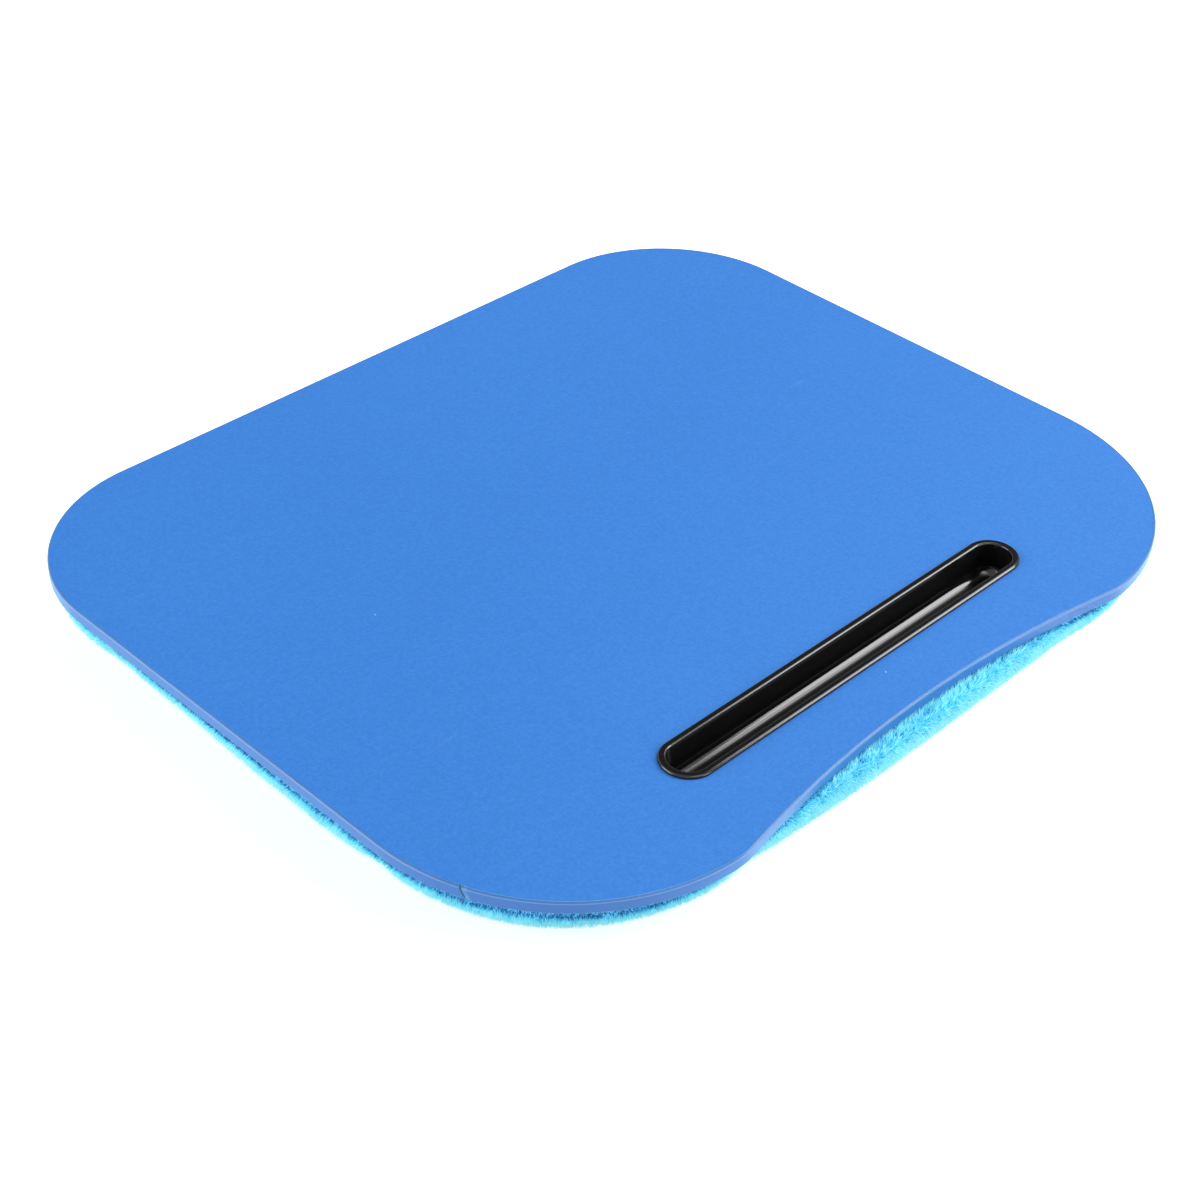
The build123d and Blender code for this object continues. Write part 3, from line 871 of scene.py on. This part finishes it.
def makePile(p, c, rings, ways):
    rng = np.random.default_rng(p["seed"])
    coarse = 1.0
    flat = floorRing - p["underFrom"]
    parts = [scatter(rings[:flat + 1], ways[:flat + 1], p["fromRing"], p["spacing"] * coarse, rng),
             scatter(rings, ways, flat, p["underSpacing"] * coarse, rng)]
    spots, normals = (np.concatenate([part[k] for part in parts]) for k in (0, 1))
    centres = scatter(rings, ways, p["clumpsFrom"], p["clump"], rng)[0]
    near = nearestOf(centres, spots)
    toClump = centres[near] - spots
    clumpTone = rng.random(len(centres))[near]
    clumpWay = rng.normal(0, 1, (len(centres), 3))[near]
    length = p["length"] * (1 + p["lengthSpread"] * (rng.random(len(spots)) - 0.5))
    lean = (toClump * p["gather"] + clumpWay * p["nap"]
            + rng.normal(0, p["stray"], spots.shape) + np.array([0, 0, -p["droop"]]))
    lean -= normals * np.sum(lean * normals, 1, keepdims=True)
    # the pile stays short where it turns in under the board, and its colours turn dark there, a
    # painted shade under the board's edge
    outline, ahead = joinStretches(edgeStretches(boardEdge))
    nearest = nearestOf(outline, spots[:, :2])
    under = -np.sum((spots[:, :2] - outline[nearest]) * ahead[nearest], 1)
    below = boardBottom - spots[:, 2]
    tuckedAndShaded = np.clip((under + p["tuckShadeReach"] - below) / p["tuckShadeFade"], 0, 1)
    length *= 1 - p["tuck"] * tuckedAndShaded
    lean *= (1 - p["tuck"] * tuckedAndShaded)[:, None]
    tips = spots + normals * length[:, None] * p["stand"] + lean
    tips[:, 2] = np.clip(tips[:, 2], p["lowest"], None)
    # outside the board's outline it stands up before the foot of the edge band
    beside = np.sum((tips[:, :2] - outline[nearest]) * ahead[nearest], 1)
    free = p["riseOutside"]
    tips[:, 2] += p["rise"] * (np.clip((spots[:, 2] - c["girth"]) / p["riseBelow"] + 1, 0, 1)
                               * np.clip((beside - free) / free, 0, 1))
    wrapped = (spots[:, 2] > c["girth"] - p["wrapBelow"]) & (beside < free)
    tips[wrapped, 2] = np.minimum(tips[wrapped, 2], boardBottom - p["wrapGap"])
    side = np.cross(normals, rng.normal(0, 1, spots.shape))
    side /= np.linalg.norm(side, axis=1, keepdims=True)
    other = np.cross(normals, side)
    # each tuft is a thin pyramid on three roots
    roots = [spots - normals * p["sunk"] + (side * math.cos(a) + other * math.sin(a)) * p["root"]
             for a in (0, 2 * math.pi / 3, 4 * math.pi / 3)]
    points = np.stack(roots + [tips], 1)
    # under the board's edge the tufts take the darkest colours, a painted shade
    shown = (1 - tuckedAndShaded[:, None])**2
    reach = np.tile([0.0, 0.0, 0.0, 1.0], (len(spots), 1)) * shown
    common = p["clumpTone"]
    tone = common * clumpTone[:, None] + (1 - common) * rng.random((len(spots), 1))
    tone = np.repeat(tone, 4, 1) * shown
    pattern = np.array([(0, 1, 3), (1, 2, 3), (2, 0, 3), (2, 1, 0)])
    # shading that follows the cushion more than each tuft, as in a soft dense pile
    away = points[:, :3] - spots[:, None]
    away = np.concatenate([away / np.linalg.norm(away, axis=2, keepdims=True),
                           normals[:, None]], 1)
    shading = away * (1 - p["soften"]) + normals[:, None] * p["soften"]
    shading /= np.linalg.norm(shading, axis=2, keepdims=True)
    material = makePileFinish(p)
    turn = np.degrees(np.arctan2(spots[:, 1], spots[:, 0])) % 360
    share = (turn // (360 / p["pieces"])).astype(int)
    made = 0
    for number in range(p["pieces"]):
        name = "pile%d" % (number + 1)
        chosen = np.nonzero(share == number)[0]
        corners = points[chosen].reshape(-1, 3)
        faces = (np.arange(len(chosen))[:, None, None] * 4 + pattern[None]).reshape(-1, 3)
        mesh = bpy.data.meshes.new(name)
        mesh.vertices.add(len(corners))
        mesh.vertices.foreach_set("co", (corners * mm).astype(np.float32).ravel())
        mesh.loops.add(faces.size)
        mesh.loops.foreach_set("vertex_index", faces.ravel().astype(np.int32))
        mesh.polygons.add(len(faces))
        mesh.polygons.foreach_set("loop_start", np.arange(0, faces.size, 3, dtype=np.int32))
        mesh.polygons.foreach_set("use_smooth", np.ones(len(faces), bool))
        mesh.update(calc_edges=True)
        for label, values in (("reach", reach[chosen]), ("tone", tone[chosen])):
            store = mesh.attributes.new(label, "FLOAT", "POINT")
            store.data.foreach_set("value", values.astype(np.float32).ravel())
        mesh.normals_split_custom_set_from_vertices(shading[chosen].reshape(-1, 3))
        piece = bpy.data.objects.new(name, mesh)
        scene.collection.objects.link(piece)
        piece.parent = cover
        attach(piece, "root")
        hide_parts("plush_cover")
        piece.visible_shadow = False    # a real pile is thin enough to let light through
        dress(piece, material)
        made += len(faces)
    print("pile made:", len(spots), "tufts,", made, "faces")


makePile(pile, cushion, skin, out)


# Camera, floor and light, in metres; a direction is its azimuth and its rise
studio = {
    "lens": 67.53, "sensor": 36.0, "turn": -46.10, "rise": 37.44, "roll": 1.98,
    "place": (-0.55208, -0.51874, 0.59111),
    "world": 0.12, "floorSize": 6.0, "floorDrop": 0.0004, "floorShade": (0.86, 0.86, 0.86, 1),
    "floorGlow": 0.58, "floorWhite": 0.56, "shadowReach": (0.3, 0.9),
    "lampFar": 2.2, "litPoint": (0.0, -0.12, 0.05),
    # soft boxes: the two directions that each lies between, its width, its glow
    "boxes": {
        "keyBoxFront": ((-48.9, 14.3), (-13.4, 49.1), 0.58, 10.5),
        "keyBoxBack": ((-13.4, 49.1), (30.0, 42.6), 0.58, 6.3),
        "leftBox": ((125, 20), (168, 13), 1.5, 6.0),
        "frontBox": ((-60, 13), (-86, 13), 1.3, 4.6),
        "overBox": ((-66, 58), (-114, 58), 1.3, 2.9)},
    # the dark card: its direction, distance, width, height and shade
    "card": ((44, 42), 3.0, 3.2, 2.6, 0.1),
}


def makeCamera(s):
    turn, rise, roll = (math.radians(s[k]) for k in ("turn", "rise", "roll"))
    back = Vector((math.sin(turn) * math.cos(rise), -math.cos(turn) * math.cos(rise),
                   math.sin(rise)))
    right = Vector((0, 0, 1)).cross(back).normalized()
    up = back.cross(right)
    across = right * math.cos(roll) + up * math.sin(roll)
    over = up * math.cos(roll) - right * math.sin(roll)
    data = bpy.data.cameras.new("camera")
    data.lens, data.sensor_width = s["lens"], s["sensor"]
    camera = bpy.data.objects.new("camera", data)
    scene.collection.objects.link(camera)
    camera.matrix_world = Matrix.Translation(s["place"]) @ Matrix(
        (across, over, back)).transposed().to_4x4()
    scene.camera = camera


def makeGrid(name, segments, size):
    bm = bmesh.new()
    bmesh.ops.create_grid(bm, x_segments=segments, y_segments=segments, size=size)
    mesh = bpy.data.meshes.new(name)
    bm.to_mesh(mesh)
    bm.free()
    grid = bpy.data.objects.new(name, mesh)
    scene.collection.objects.link(grid)
    return grid


def makeFloor(s):
    floor = makeGrid("floor", 8, s["floorSize"])
    floor.location.z = -s["floorDrop"]
    material, tree, shader = newMaterial("paleFloor", {
        "Base Color": s["floorShade"], "Roughness": 0.9, "Specular IOR Level": 0.0,
        "Emission Color": (1, 1, 1, 1)})
    # white far away, and a little darker near the tray, where its shadow falls
    place = addNode(tree, "TexCoord").outputs["Object"]
    away = addNode(tree, "VectorMath", {0: place}, operation="LENGTH").outputs["Value"]
    near, far = s["shadowReach"]
    white = addNode(tree, "MapRange", {"Value": away, "From Min": near, "From Max": far,
                                       "To Min": s["floorWhite"], "To Max": 1.0})
    seen = addNode(tree, "LightPath").outputs["Is Camera Ray"]
    lift = addNode(tree, "MapRange", {"Value": seen, "To Min": s["floorGlow"],
                                      "To Max": white.outputs["Result"]})
    feed(tree, shader, {"Emission Strength": lift.outputs[0]})
    side = addNode(tree, "NewGeometry").outputs["Backfacing"]
    mix = addNode(tree, "MixShader", {"Fac": side, 1: shader.outputs[0],
                                      2: addNode(tree, "BsdfTransparent").outputs[0]})
    feed(tree, tree.nodes["Material Output"], {"Surface": mix.outputs[0]})
    floor.data.materials.append(material)


def makeWorld(strength):
    world = bpy.data.worlds.new("studio")
    scene.world = world
    world.use_nodes = True
    tree = world.node_tree
    path = addNode(tree, "LightPath").outputs
    seen = addMath(tree, "MAXIMUM", path["Is Camera Ray"], path["Is Transmission Ray"])
    white = addMath(tree, "MAXIMUM", seen, path["Is Glossy Ray"])
    level = addNode(tree, "MapRange", {"Value": white, "To Min": strength, "To Max": 1.0})
    feed(tree, tree.nodes["Background"], {"Color": (1, 1, 1, 1), "Strength": level.outputs["Result"]})


def wayTo(azimuth, rise):
    a, e = math.radians(azimuth), math.radians(rise)
    return Vector((math.cos(a) * math.cos(e), math.sin(a) * math.cos(e), math.sin(e)))


# A soft box seen from the pen tray between two directions, as bright as its glow times white
def softBox(name, first, last, wide, glow):
    far, middle = studio["lampFar"], (wayTo(*first) + wayTo(*last)).normalized()
    ends = [wayTo(*end) * far / wayTo(*end).dot(middle) for end in (first, last)]
    along = (ends[1] - ends[0]).normalized()
    data = bpy.data.lights.new(name, "AREA")
    data.shape, data.size, data.size_y = "RECTANGLE", (ends[1] - ends[0]).length, wide
    data.energy = glow * math.pi * data.size * data.size_y
    lamp = bpy.data.objects.new(name, data)
    lamp.matrix_world = Matrix.Translation(Vector(studio["litPoint"]) + middle * far) @ Matrix(
        (along, middle.cross(along), middle)).transposed().to_4x4()
    lamp.visible_camera = False
    scene.collection.objects.link(lamp)


# A dark card that only reflections see, as studios hang one behind glossy black things
def darkCard(name, direction, distance, wide, tall, shade):
    way = wayTo(*direction)
    card = makeGrid(name, 4, 0.5)
    card.location = way * distance
    card.rotation_mode = "QUATERNION"
    card.rotation_quaternion = way.to_track_quat("Z", "Y")
    card.scale = (wide, tall, 1)
    for ray in ("camera", "diffuse", "transmission", "volume_scatter", "shadow"):
        setattr(card, "visible_" + ray, False)
    card.data.materials.append(newMaterial(name, {
        "Base Color": (0, 0, 0, 1), "Specular IOR Level": 0,
        "Emission Color": (1, 1, 1, 1), "Emission Strength": shade})[0])


makeCamera(studio)
makeFloor(studio)
darkCard("darkCard", *studio["card"])
makeWorld(studio["world"])
for name, box in studio["boxes"].items():
    softBox(name, *box)
scene.view_settings.view_transform = "Standard"
print("studio made")
